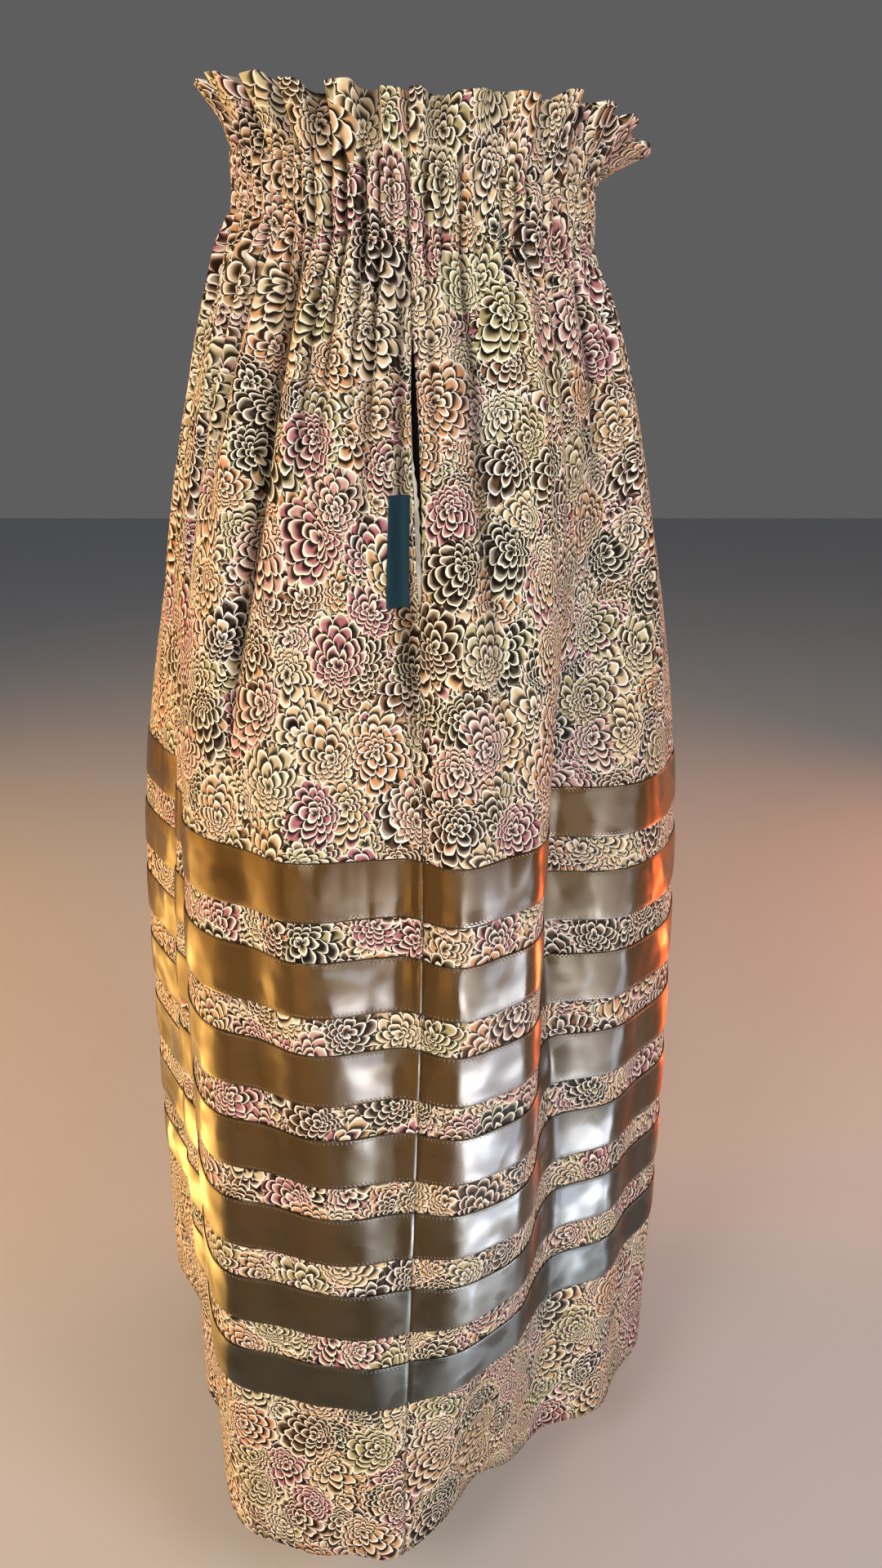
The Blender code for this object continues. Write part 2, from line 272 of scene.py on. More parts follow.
def creases(side, share, height):
    """Middle-sized creases under the yoke: sines of different width that swell and fade down the cloth, each
    fold with a length of its own."""
    top = ease(height, 0.58, 0.80) * (1 - ease(height, 0.895, 0.935))
    broad = 0.0034 * wave(share, 11.0, 0.15 * side) * (0.5 + 0.5 * wave(share, 3.1, 0.3)) * top
    drift = share + 0.010 * wave(share, 4.7, 0.2 * side) + 0.006 * wave(share, 9.1, 2.0 * height)
    foot = 0.61 + 0.09 * wave(share, 6.1, 0.3 * side)
    valley = (0.5 - 0.5 * wave(drift, 18.0, 0.35 * side)) ** 2
    fine = 0.0074 * fullness(side, share) * (0.45 - 1.35 * valley) * (0.75 + 0.25 * wave(share, 5.3, 0.1))
    fine = fine * ease(height, foot, foot + 0.22) * (1 - ease(height, 0.905, 0.95))
    low = 0.0012 * wave(share, 8.0, 0.6 + 0.4 * height) * wave(share, 2.7, 0.2 * side)
    low = low * (1 - ease(height, 0.60, 0.80))
    return broad + fine + low


def stitched_lines(height):
    """The cloth is drawn in along each row of stitching: a narrow bell curve at its height."""
    bells = (depth * np.exp(-(((height - line) / STITCH_DIP_WIDTH) ** 2)) for _, line, depth in STITCH_ROWS)
    return -sum(bells)


def seam_dip(share):
    """The cloth turns in along each side seam: it falls off over the last two millimetres."""
    edge = np.minimum(share, 1 - share) * CLOTH_WIDTH
    return -0.0017 * np.exp(-((edge / 0.0016) ** 1.5))


def slit_gap(height):
    """Half the width of the pocket slit at a height: an arch, closed at both ends and widest beside the
    label."""
    rise = np.clip((height - SLIT_FOOT) / (SLIT_TOP - SLIT_FOOT), 0, 1) ** 0.7
    return SLIT_HALF * (4 * rise * (1 - rise)) ** 0.7


def ruffle(side, share, angle):
    """The ruffle's flare, depth of wave and lift at an angle, its share with uneven spacing, and its flutes:
    a sine from -1 (in) to 1 (out) with broad ridges."""
    flare, depth, lift = (np.interp(wrapped(angle), RUFFLE[:, 0], RUFFLE[:, k]) for k in (1, 2, 3))
    uneven = share + 0.012 * wave(share, 2, 0.2 * side) + 0.006 * wave(share, 5)
    flute = 1 - 2 * (0.5 - 0.5 * wave(uneven, RUFFLE_WAVES)) ** 1.4
    return flare, 1.5 * depth, lift, uneven, flute


def cloth_points(side, share, height):
    """Outer surface of a panel on a grid of shares and heights, as an array of points."""
    share, height = np.broadcast_arrays(share, height)
    angle = cloth_angle(side, share, height)
    radius = tube_radius(angle, np.minimum(height, CASING_TOP))
    calm = np.sin(np.pi * np.clip(share, 0, 1)) ** 0.25
    radius = radius + calm * (gathers(side, share, height) + creases(side, share, height))
    radius = radius + CASING_PUFF * casing_bow(height)
    radius = radius + stitched_lines(height) + seam_dip(share)
    up = heading_rise(height)
    flare, depth, lift, uneven, flute = ruffle(side, share, angle)
    overlap = 0.28 * calm * depth * up * wave(uneven, 2 * RUFFLE_WAVES)
    radius = radius + flare * up**1.4 + calm * depth * up * (flute + 0.05 * wave(uneven, 3 * RUFFLE_WAVES))
    turn = np.radians(angle)
    pull = side * (SEAM_HALF_GAP + slit_gap(height)) * np.exp(-share * CLOTH_WIDTH / SEAM_EASE)
    pull = pull - side * SEAM_HALF_GAP * np.exp(-(1 - share) * CLOTH_WIDTH / SEAM_EASE) - side * overlap
    x = radius * np.sin(turn) + pull * np.cos(turn)
    y = -radius * np.cos(turn) + pull * np.sin(turn)
    z = height - WAIST_HEIGHT + waist_drop(angle, height) + lift * up
    z = z + (0.0012 * flute + 0.0022 * wave(share, 7.3, 0.3 * side)) * calm * up
    return np.stack([x, y, z], axis=-1)


def surface_normals(points, side):
    """Unit vectors out of a grid of cloth: across the cloth times up the cloth."""
    out = np.cross(np.gradient(points, axis=1), np.gradient(points, axis=0)) * side
    return out / np.linalg.norm(out, axis=-1, keepdims=True)


def cloth_shares():
    """Shares across a panel: even, and close together in the first and last few millimetres."""
    edge = np.array([0, 0.5, 1.0, 1.6, 2.4, 3.4, 4.8, 6.6]) / 1000 / CLOTH_WIDTH
    return np.concatenate([edge, np.linspace(0.0105, 0.9895, 372), (1 - edge)[::-1]])


def cloth_heights():
    """Heights of a panel's rows, with closer rows in the gathers, the casing and the ruffle."""
    bands = [np.linspace(0, HEM_BAND, 12)]
    for k in range(RIBBON_COUNT):
        foot = HEM_BAND + k * RIBBON_PITCH
        bands.append(np.linspace(foot, foot + RIBBON_WIDTH, 5))
        bands.append(np.linspace(foot + RIBBON_WIDTH, foot + RIBBON_PITCH, 3))
    bands += [np.linspace(RIBBON_TOP, YOKE, 37), np.linspace(YOKE, CASING_FOOT, 9)]
    bands += [np.linspace(CASING_FOOT, CASING_TOP, 13), np.linspace(CASING_TOP, CASING_TOP + HEADING, 13)]
    return np.unique(np.round(np.concatenate(bands), 6))


def grid_mesh(name, points, uvs, flip):
    """A mesh of four-sided faces over a grid of points, with a UV map in metres called cloth."""
    rows, columns = points.shape[:2]
    number = np.arange(rows * columns).reshape(rows, columns)
    corners = np.stack([number[:-1, :-1], number[:-1, 1:], number[1:, 1:], number[1:, :-1]], axis=-1)
    corners = corners.reshape(-1, 4)
    if flip:
        corners = corners[:, ::-1]
    mesh = bpy.data.meshes.new(name)
    mesh.vertices.add(rows * columns)
    mesh.vertices.foreach_set("co", points.astype(np.float32).ravel())
    mesh.loops.add(corners.size)
    mesh.loops.foreach_set("vertex_index", corners.astype(np.int32).ravel())
    mesh.polygons.add(len(corners))
    mesh.polygons.foreach_set("loop_start", np.arange(0, corners.size, 4, dtype=np.int32))
    mesh.update(calc_edges=True)
    places = uvs.reshape(-1, 2)[corners.ravel()].astype(np.float32)
    mesh.uv_layers.new(name="cloth").uv.foreach_set("vector", places.ravel())
    mesh.polygons.foreach_set("use_smooth", np.ones(len(corners), dtype=bool))
    mesh.validate()
    return mesh


def cloth_piece(name, mesh, thickness, finishes):
    """A shown piece: the mesh with its finishes, given a wall on its inner side, riding on the skirt's
    body."""
    piece = bpy.data.objects.new(name, mesh)
    bpy.context.scene.collection.objects.link(piece)
    for finish in finishes:
        mesh.materials.append(finish)
    wall = piece.modifiers.new("wall", "SOLIDIFY")
    wall.thickness = thickness
    wall.offset = -1
    wall.material_offset = len(finishes) - 1
    wall.material_offset_rim = 0
    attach(piece, "root")
    return piece


def link(tree, source, socket):
    """Joins a source to a node's socket, or sets the socket where the source is a plain value."""
    if isinstance(source, bpy.types.NodeSocket):
        tree.links.new(source, socket)
    else:
        socket.default_value = source


def maths(tree, operation, *values, clamp=False):
    """A Math node; gives its value."""
    node = tree.nodes.new("ShaderNodeMath")
    node.operation, node.use_clamp = operation, clamp
    for value, socket in zip(values, node.inputs):
        link(tree, value, socket)
    return node.outputs[0]


def vectors(tree, operation, *values):
    """A Vector Math node; gives its vector, or its number for a length."""
    node = tree.nodes.new("ShaderNodeVectorMath")
    node.operation = operation
    for value, socket in zip(values, node.inputs):
        link(tree, value, socket)
    return node.outputs["Value" if operation == "LENGTH" else "Vector"]


def blend_colours(tree, share, first, second, mode="MIX"):
    """A Mix node for colours; gives its colour."""
    node = tree.nodes.new("ShaderNodeMix")
    node.data_type, node.blend_type = "RGBA", mode
    link(tree, share, node.inputs["Factor"])
    link(tree, first, node.inputs["A"])
    link(tree, second, node.inputs["B"])
    return node.outputs["Result"]


def stepped(tree, value, low, high):
    """A smooth step of a value, from 0 at low to 1 at high."""
    node = tree.nodes.new("ShaderNodeMapRange")
    node.interpolation_type = "SMOOTHSTEP"
    for word, number in (("Value", value), ("From Min", low), ("From Max", high)):
        link(tree, number, node.inputs[word])
    return node.outputs["Result"]


def colour_bands(tree, value, colours):
    """A Color Ramp with the colours in even bands."""
    node = tree.nodes.new("ShaderNodeValToRGB")
    ramp = node.color_ramp
    ramp.interpolation = "CONSTANT"
    while len(ramp.elements) < len(colours):
        ramp.elements.new(1.0)
    for k, colour in enumerate(colours):
        ramp.elements[k].position = k / len(colours)
        ramp.elements[k].color = (*colour, 1)
    link(tree, value, node.inputs[0])
    return node.outputs["Color"]


def noise(tree, place, scale, detail=2.0):
    """A Noise texture; gives its value."""
    node = tree.nodes.new("ShaderNodeTexNoise")
    for word, value in (("Vector", place), ("Scale", scale), ("Detail", detail)):
        link(tree, value, node.inputs[word])
    return node.outputs["Fac"]


def split(tree, vector):
    """The X, Y and Z of a vector."""
    node = tree.nodes.new("ShaderNodeSeparateXYZ")
    link(tree, vector, node.inputs[0])
    return node.outputs


def joined(tree, x, y, z=0.0):
    """A vector from three values."""
    node = tree.nodes.new("ShaderNodeCombineXYZ")
    for value, socket in zip((x, y, z), node.inputs):
        link(tree, value, socket)
    return node.outputs[0]


def stretched_noise(tree, across, scales, detail=1.0):
    """A Noise texture with a scale of its own along the cloth and another up it; gives its value."""
    along, up = (maths(tree, "MULTIPLY", across[word], scale) for word, scale in zip("XY", scales))
    return noise(tree, joined(tree, along, up), 1.0, detail)


def new_group(name, inputs, outputs):
    """An empty shader node group with named sockets; gives its tree, its inputs and its output node."""
    tree = bpy.data.node_groups.new(name, "ShaderNodeTree")
    kinds = {"number": "NodeSocketFloat", "vector": "NodeSocketVector", "colour": "NodeSocketColor"}
    for word, kind in inputs:
        tree.interface.new_socket(word, in_out="INPUT", socket_type=kinds[kind])
    for word, kind in outputs:
        tree.interface.new_socket(word, in_out="OUTPUT", socket_type=kinds[kind])
    return tree, tree.nodes.new("NodeGroupInput").outputs, tree.nodes.new("NodeGroupOutput")


def use_group(tree, group, **values):
    """Places a group in a tree with its inputs linked or set; gives its outputs."""
    node = tree.nodes.new("ShaderNodeGroup")
    node.node_tree = group
    for word, value in values.items():
        link(tree, value, node.inputs[word])
    return node.outputs


RIMS = ((1.00, 0.98, 0.93), (0.95, 0.99, 0.88), (1.00, 1.00, 0.99), (1.00, 0.95, 0.94), (1.00, 0.95, 0.84))
PETALS = (
    (0.58, 0.39, 0.21),
    (0.40, 0.36, 0.18),
    (0.100, 0.056, 0.028),
    (0.68, 0.55, 0.36),
    (0.42, 0.155, 0.20),
    (0.23, 0.125, 0.060),
    (0.62, 0.33, 0.16),
    (0.050, 0.034, 0.024),
    (0.58, 0.34, 0.32),
    (0.55, 0.51, 0.32),
)
PETAL_SHADOW = (0.008, 0.005, 0.003)
PRINT_GROUND = (0.030, 0.020, 0.013)
WRONG_SIDE = (0.62, 0.56, 0.47)
WARM_FADE = (0.90, 0.74, 0.54)
HOLLOW_SHADE = (0.16, 0.12, 0.10)
RIBBON_EDGE_DARK = (0.012, 0.009, 0.006)
# Painted shade for the inside of the pocket.
POCKET_PAINTED_SHADE = (0.006, 0.005, 0.004)
FLOWER_RINGS = (
    # inner radius, length of the petals, both in millimetres, and number of petals
    (1.0, 3.4, 4),
    (3.8, 4.3, 6),
    (8.0, 4.5, 9),
    (12.3, 4.6, 12),
    (16.7, 4.7, 15),
    (21.2, 4.8, 19),
)


def flower_layer(name, rings):
    """One layer of printed flowers. Each cell of a Voronoi pattern holds a flower. The rim of a ring of
    petals is a row of half ellipses round the middle: its radius is the ring's own plus the petal's length
    times the root of 1 - (2u)^2, where u runs from -0.5 to 0.5 across a petal. Inner rings lie over outer
    ones, and one side of each flower is longer than the other."""
    tree, given, out = new_group(
        name, [("Place", "vector"), ("Cell", "number")], [("Colour", "colour"), ("Cover", "number")]
    )
    cells = tree.nodes.new("ShaderNodeTexVoronoi")
    cells.voronoi_dimensions = "2D"
    link(tree, given["Place"], cells.inputs["Vector"])
    link(tree, maths(tree, "DIVIDE", 1.0, given["Cell"]), cells.inputs["Scale"])
    cells.inputs["Randomness"].default_value = 0.85
    luck = split(tree, cells.outputs["Color"])
    arm = vectors(tree, "SUBTRACT", given["Place"], cells.outputs["Position"])
    across = split(tree, arm)
    turn = maths(tree, "DIVIDE", maths(tree, "ARCTAN2", across["Y"], across["X"]), 2 * math.pi)
    lean = maths(tree, "COSINE", maths(tree, "MULTIPLY", maths(tree, "ADD", turn, luck["X"]), 2 * math.pi))
    reach = maths(tree, "MULTIPLY_ADD", lean, 0.40, maths(tree, "MULTIPLY_ADD", luck["Y"], -0.30, 1.16))
    radius = maths(tree, "MULTIPLY", vectors(tree, "LENGTH", arm), reach)
    petal, under, outermost = (0.0, 0.0, 0.0), 0.0, 0.0
    for start, length, count in reversed(FLOWER_RINGS[:rings]):
        offset = maths(tree, "MULTIPLY", luck["Z"], 1.7 * count)
        place = maths(tree, "MULTIPLY_ADD", turn, float(count), offset)
        u = maths(tree, "SUBTRACT", maths(tree, "FRACT", place), 0.5)
        bow = maths(tree, "SQRT", maths(tree, "MULTIPLY_ADD", maths(tree, "MULTIPLY", u, u), -4.0, 1.0))
        rim = maths(tree, "MULTIPLY_ADD", bow, length, start)
        covered = maths(tree, "LESS_THAN", radius, rim)
        number = maths(tree, "MULTIPLY_ADD", maths(tree, "FLOOR", place), 1.37, 10 * start)
        own = joined(tree, maths(tree, "SUBTRACT", rim, radius), number, u)
        # A Mix node's sockets for vectors are its inputs 4 and 5 and its output 1.
        mixed = tree.nodes.new("ShaderNodeMix")
        mixed.data_type = "VECTOR"
        link(tree, covered, mixed.inputs["Factor"])
        link(tree, petal, mixed.inputs[4])
        link(tree, own, mixed.inputs[5])
        petal = mixed.outputs[1]
        below = maths(tree, "MULTIPLY", rim, maths(tree, "SUBTRACT", 1.0, covered))
        under = maths(tree, "MAXIMUM", under, below)
        outermost = maths(tree, "MAXIMUM", outermost, covered)
    depth, number, u = split(tree, petal)
    gap = maths(tree, "SUBTRACT", radius, under)
    dice = tree.nodes.new("ShaderNodeTexWhiteNoise")
    dice.noise_dimensions = "2D"
    link(tree, joined(tree, number, maths(tree, "MULTIPLY", luck["Z"], 37.0)), dice.inputs["Vector"])
    chance = dice.outputs["Value"]
    odd_one = maths(tree, "MULTIPLY", maths(tree, "GREATER_THAN", chance, 0.92), 0.35)
    family = maths(tree, "FRACT", maths(tree, "MULTIPLY_ADD", luck["Z"], 3.1, odd_one))
    body = colour_bands(tree, family, PETALS)
    pale = colour_bands(tree, maths(tree, "FRACT", maths(tree, "MULTIPLY", luck["Y"], 7.3)), RIMS)
    lit = blend_colours(tree, 0.36, body, pale)
    inside = blend_colours(tree, stepped(tree, depth, 0.8, 2.8), lit, body)
    darkness = maths(tree, "MULTIPLY_ADD", luck["X"], 0.06, 0.935)
    shadow = maths(tree, "MULTIPLY", stepped(tree, gap, 3.2, 0.9), darkness)
    inside = blend_colours(tree, shadow, inside, (*PETAL_SHADOW, 1))
    edge = stepped(tree, depth, 1.15, 0.60)
    painted = blend_colours(tree, edge, inside, pale)
    painted = blend_colours(tree, outermost, (*PRINT_GROUND, 1), painted)
    link(tree, painted, out.inputs["Colour"])
    link(tree, outermost, out.inputs["Cover"])
    return tree


def petal_print():
    """The whole print: flowers over flowers that fill the gaps, in millimetres on the cloth, with lines that
    are a little unsteady."""
    tree, given, out = new_group("petal_print", [("Cloth", "vector")], [("Colour", "colour")])
    place = vectors(tree, "SCALE", given["Cloth"])
    place.node.inputs["Scale"].default_value = 1000.0
    shake = tree.nodes.new("ShaderNodeTexNoise")
    link(tree, place, shake.inputs["Vector"])
    shake.inputs["Scale"].default_value = 0.10
    shake.inputs["Detail"].default_value = 1.0
    sway = vectors(tree, "SCALE", vectors(tree, "SUBTRACT", shake.outputs["Color"], (0.5, 0.5, 0.5)))
    sway.node.inputs["Scale"].default_value = 7.0
    place = vectors(tree, "ADD", place, sway)
    colour = None
    few = flower_layer("flowers_of_five_rings", 5)
    many = flower_layer("flowers_of_six_rings", 6)
    # Each layer from the lowest up: how far its pattern is moved, the size of its cells, and its flowers.
    for move, cell, flowers in ((430.0, 27.0, many), (170.0, 40.0, few), (0.0, 48.0, few)):
        layer = use_group(tree, flowers, Place=vectors(tree, "ADD", place, (move, move / 3, 0)), Cell=cell)
        over = layer["Colour"]
        colour = over if colour is None else blend_colours(tree, layer["Cover"], colour, over)
    link(tree, colour, out.inputs["Colour"])
    return tree


def woven_threads():
    """Plain weave: the height of warp and weft threads that pass over each other, as two crossed sines."""
    tree, given, out = new_group(
        "woven_threads", [("Cloth", "vector"), ("Threads", "number")], [("Height", "number")]
    )
    across = split(tree, given["Cloth"])
    sines = []
    for word in ("X", "Y"):
        turn = maths(tree, "MULTIPLY", across[word], given["Threads"])
        sines.append(maths(tree, "SINE", maths(tree, "MULTIPLY", turn, math.pi)))
    link(tree, maths(tree, "MULTIPLY_ADD", maths(tree, "MULTIPLY", *sines), 0.5, 0.5), out.inputs["Height"])
    return tree


def new_finish(name):
    """A material and the parts of it that every finish uses: its tree, its shader and the cloth's own UV
    map."""
    material = bpy.data.materials.new(name)
    material.use_nodes = True
    tree = material.node_tree
    shader = tree.nodes["Principled BSDF"]
    cloth = tree.nodes.new("ShaderNodeUVMap")
    cloth.uv_map = "cloth"
    return material, tree, shader, cloth.outputs["UV"]


def bump(tree, shader, height, strength, distance):
    """Feeds a height to the shader's normal and its coat's."""
    node = tree.nodes.new("ShaderNodeBump")
    node.inputs["Strength"].default_value = strength
    node.inputs["Distance"].default_value = distance
    link(tree, height, node.inputs["Height"])
    link(tree, node.outputs["Normal"], shader.inputs["Normal"])
    link(tree, node.outputs["Normal"], shader.inputs["Coat Normal"])


def printed_cotton(name, printed, threads, paleness):
    """Printed cotton, matt with a faint bloom, with painted shade in the valleys of its gathers, creases and
    flutes. The wrong side shows the same print, paler, through the cloth."""
    material, tree, shader, cloth = new_finish(name)
    colour = use_group(tree, printed, Cloth=cloth)["Colour"]
    fade = noise(tree, cloth, 9.0)
    worn = maths(tree, "MULTIPLY", fade, 0.35)
    colour = blend_colours(tree, paleness, colour, (*WRONG_SIDE, 1))
    colour = blend_colours(tree, worn, colour, (*WARM_FADE, 1), "MULTIPLY")
    # Painted shade from the panel's point attribute: the colour is multiplied towards dark brown in the
    # valleys of the gathers, creases and flutes.
    painted_fold_shade = tree.nodes.new("ShaderNodeAttribute")
    painted_fold_shade.attribute_name = "painted_fold_shade"
    colour = blend_colours(tree, painted_fold_shade.outputs["Fac"], colour, (*HOLLOW_SHADE, 1), "MULTIPLY")
    link(tree, colour, shader.inputs["Base Color"])
    link(tree, maths(tree, "MULTIPLY_ADD", fade, 0.14, 0.70), shader.inputs["Roughness"])
    shader.inputs["Specular IOR Level"].default_value = 0.06
    shader.inputs["Sheen Weight"].default_value = 0.01
    weave = use_group(tree, threads, Cloth=cloth, Threads=2400.0)["Height"]
    soft = maths(tree, "MULTIPLY", noise(tree, cloth, 60.0, 3.0), 4.0)
    bump(tree, shader, maths(tree, "ADD", weave, soft), 0.35, 0.0003)
    return material


def satin_ribbon(name, colour, bright):
    """Satin: dark with bright bands of gloss across the ribbon, because its floats lie along it. The gloss
    has duller clouds, and the ribbon is gently uneven and drawn in at a row of stitches near each edge."""
    material, tree, shader, cloth = new_finish(name)
    across = split(tree, cloth)
    thread = stretched_noise(tree, across, (60.0, 900.0), 2.0)
    broad = noise(tree, cloth, 14.0, 2.0)
    tone = maths(tree, "MULTIPLY_ADD", thread, 0.15, maths(tree, "MULTIPLY", broad, 0.85), clamp=True)
    off_middle = maths(tree, "ABSOLUTE", maths(tree, "SUBTRACT", across["Y"], RIBBON_WIDTH / 2))
    edge = maths(tree, "SUBTRACT", RIBBON_WIDTH / 2, off_middle)
    fill = blend_colours(tree, tone, (*colour, 1), (*bright, 1))
    # The ribbon is darker along both of its edges.
    dark_edge = maths(tree, "MULTIPLY", stepped(tree, edge, 0.0011, 0.0003), 0.75)
    link(tree, blend_colours(tree, dark_edge, fill, (*RIBBON_EDGE_DARK, 1)), shader.inputs["Base Color"])
    clouds = stepped(tree, stretched_noise(tree, across, (26.0, 34.0)), 0.34, 0.66)
    dull = maths(tree, "MULTIPLY_ADD", clouds, 0.34, 0.19)
    link(tree, maths(tree, "MULTIPLY_ADD", thread, 0.06, dull), shader.inputs["Roughness"])
    shader.inputs["Metallic"].default_value = 0.12
    shader.inputs["Specular IOR Level"].default_value = 0.45
    shader.inputs["Anisotropic"].default_value = 0.88
    shader.inputs["Anisotropic Rotation"].default_value = 0.25
    shader.inputs["Specular Tint"].default_value = (1.0, 0.86, 0.66, 1)
    shader.inputs["Coat Weight"].default_value = 0.12
    shader.inputs["Coat Roughness"].default_value = 0.12
    tangent = tree.nodes.new("ShaderNodeTangent")
    tangent.direction_type, tangent.uv_map = "UV_MAP", "cloth"
    link(tree, tangent.outputs[0], shader.inputs["Tangent"])
    row = maths(tree, "ABSOLUTE", maths(tree, "SUBTRACT", edge, RIBBON_STITCH_INSET))
    held = stepped(tree, row, 0.0011, 0.0002)
    turns = maths(tree, "MULTIPLY", across["X"], 2 * math.pi / STITCH_PITCH)
    dash = stepped(tree, maths(tree, "SINE", turns), -0.5, 0.1)
    stitch = maths(tree, "MULTIPLY", held, maths(tree, "MULTIPLY_ADD", dash, 0.22, -0.16))
    drawn_in = maths(tree, "MULTIPLY_ADD", stepped(tree, edge, 0.012, 0.001), 0.20, 0.03)
    puckers = maths(tree, "MULTIPLY", stretched_noise(tree, across, (130.0, 25.0)), drawn_in)
    swell = maths(tree, "MULTIPLY", stretched_noise(tree, across, (18.0, 16.0), 2.0), 3.6)
    height = maths(tree, "ADD", stitch, puckers)
    height = maths(tree, "ADD", height, maths(tree, "MULTIPLY_ADD", thread, 0.010, swell))
    bump(tree, shader, height, 1.0, 0.001)
    return material


def plain_cloth(name, colour, threads, count, rough, inner_shade=None):
    """A plain woven finish in one colour with lighter and darker threads. With a shade colour given, the
    cloth from the fold of the pocket's lip inwards takes it as painted shade for the inside of the pocket."""
    material, tree, shader, cloth = new_finish(name)
    weave = use_group(tree, threads, Cloth=cloth, Threads=count)["Height"]
    worn = noise(tree, cloth, 220.0, 3.0)
    tone = maths(tree, "MULTIPLY_ADD", weave, 0.4, maths(tree, "MULTIPLY", worn, 0.5), clamp=True)
    dark = tuple(0.72 * c for c in colour)
    light = tuple(min(1.0, 1.28 * c + 0.004) for c in colour)
    tint = blend_colours(tree, tone, (*dark, 1), (*light, 1))
    # Painted shade: from its fold inwards the pocket cloth is near black, standing for the shade inside the
    # pocket.
    if inner_shade:
        inwards = stepped(tree, split(tree, cloth)["X"], 0.0002, 0.0012)
        tint = blend_colours(tree, inwards, tint, (*inner_shade, 1))
    link(tree, tint, shader.inputs["Base Color"])
    link(tree, maths(tree, "MULTIPLY_ADD", worn, 0.15, rough), shader.inputs["Roughness"])
    shader.inputs["Specular IOR Level"].default_value = 0.15
    shader.inputs["Sheen Weight"].default_value = 0.02
    bump(tree, shader, weave, 0.5, 0.0002)
    return material


RIBBON_COLOURS = (
    # the satin's darker and lighter tone, from the top ribbon down
    ((0.066, 0.031, 0.005), (0.105, 0.054, 0.012)),
    ((0.063, 0.031, 0.005), (0.100, 0.053, 0.012)),
    ((0.056, 0.028, 0.005), (0.090, 0.049, 0.012)),
    ((0.044, 0.024, 0.005), (0.073, 0.041, 0.011)),
    ((0.031, 0.019, 0.005), (0.054, 0.033, 0.011)),
    ((0.020, 0.015, 0.005), (0.037, 0.027, 0.012)),
    ((0.009, 0.011, 0.007), (0.021, 0.023, 0.017)),
)


def build_panel(word, side, right_side, wrong_side):
    """A panel of the skirt, with its ruffled heading and casing; gives the piece. The print is drawn in where
    the cloth is gathered, and an attribute holds painted shade for the valleys of the gathers and flutes."""
    share, height = np.meshgrid(cloth_shares(), cloth_heights())
    points = cloth_points(side, share, height)
    spread = 1 - 0.26 * ease(height, 0.66, 0.93)
    uvs = np.stack([share * CLOTH_WIDTH * spread + (0.0 if side < 0 else 1.3), height], axis=-1)
    mesh = grid_mesh(f"{word}_panel_cloth", points, uvs, side < 0)
    # Painted shade: how much darker the cloth is painted in the valleys of the gathers and creases, and
    # inside the ruffle's flutes.
    depth = -np.minimum(1.3 * gathers(side, share, height) + 0.8 * creases(side, share, height), 0)
    valleys = 0.85 * ease(depth, 0.0004, 0.0055)
    _, waves, _, _, flute = ruffle(side, share, cloth_angle(side, share, height))
    inner = 0.8 * heading_rise(height) ** 0.6 * np.clip(waves / 0.011, 0, 1) * ease(-flute, -0.3, 0.9)
    painted_fold_shade = np.maximum(valleys, inner).astype(np.float32)
    mesh.attributes.new("painted_fold_shade", "FLOAT", "POINT").data.foreach_set("value", painted_fold_shade.ravel())
    piece = cloth_piece(f"{word}_panel_cloth", mesh, PANEL_WALL, [right_side, wrong_side])
    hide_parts(f"{word}_panel")
    return piece


def build_ribbon(word, side, number, satin):
    """A ribbon round a panel: the panel's own surface moved out, slightly full between its two rows of
    stitches."""
    foot = RIBBON_TOP - (number - 1) * RIBBON_PITCH - RIBBON_WIDTH
    heights = foot + RIBBON_WIDTH * np.array([0, 0.04, 0.10, 0.25, 0.5, 0.75, 0.90, 0.96, 1.0])
    share, height = np.meshgrid(cloth_shares(), heights)
    points = cloth_points(side, share, height)
    bow = np.clip(np.sin(np.pi * (height - foot) / RIBBON_WIDTH), 0, 1) ** 0.5
    lift = (RIBBON_LIFT + RIBBON_BOW * bow)[..., None]
    points = points + lift * surface_normals(points, side)
    uvs = np.stack([share * CLOTH_WIDTH + number * 0.37, height - foot], axis=-1)
    name = f"{word}_ribbon_{number}_satin"
    piece = cloth_piece(name, grid_mesh(name, points, uvs, side < 0), RIBBON_WALL, [satin])
    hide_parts(f"{word}_ribbon_{number}")


def build_label(weave):
    """The bare label, laid on the front panel's own surface beside the slit. Its foot is set a little further
    from the slit than its top, and its edges are turned down."""
    side = SIDES["front"]
    heights = np.linspace(SLIT_FOOT, LABEL_TOP, 61)
    # The length along each row from the seam gives the shares that the label's columns need.
    tries = np.linspace(0, 0.07, 141)
    row = cloth_points(side, tries, heights[:, None])
    steps = np.linalg.norm(np.diff(row, axis=1, prepend=row[:, :1]), axis=-1)
    length = np.cumsum(steps, axis=1)
    starts = LABEL_INSET + LABEL_SLANT * (LABEL_TOP - heights) / (LABEL_TOP - SLIT_FOOT)
    across = np.linspace(0, LABEL_WIDTH, 25)
    share = np.stack([np.interp(start + across, found, tries) for start, found in zip(starts, length)])
    height = np.broadcast_to(heights[:, None], share.shape)
    points = cloth_points(side, share, height)
    rim = np.minimum(across, LABEL_WIDTH - across)
    rim = np.minimum(rim, np.minimum(height - SLIT_FOOT, LABEL_TOP - height))
    lift = LABEL_LIFT + LABEL_BOW * (1 - np.exp(-np.clip(rim, 0, None) / 0.0008))
    points = points + lift[..., None] * surface_normals(points, side)
    uvs = np.stack([np.broadcast_to(across, share.shape), height], axis=-1)
    mesh = grid_mesh("side_label_weave", points, uvs, True)
    piece = cloth_piece("side_label_weave", mesh, LABEL_WALL, [weave])
    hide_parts("side_label")


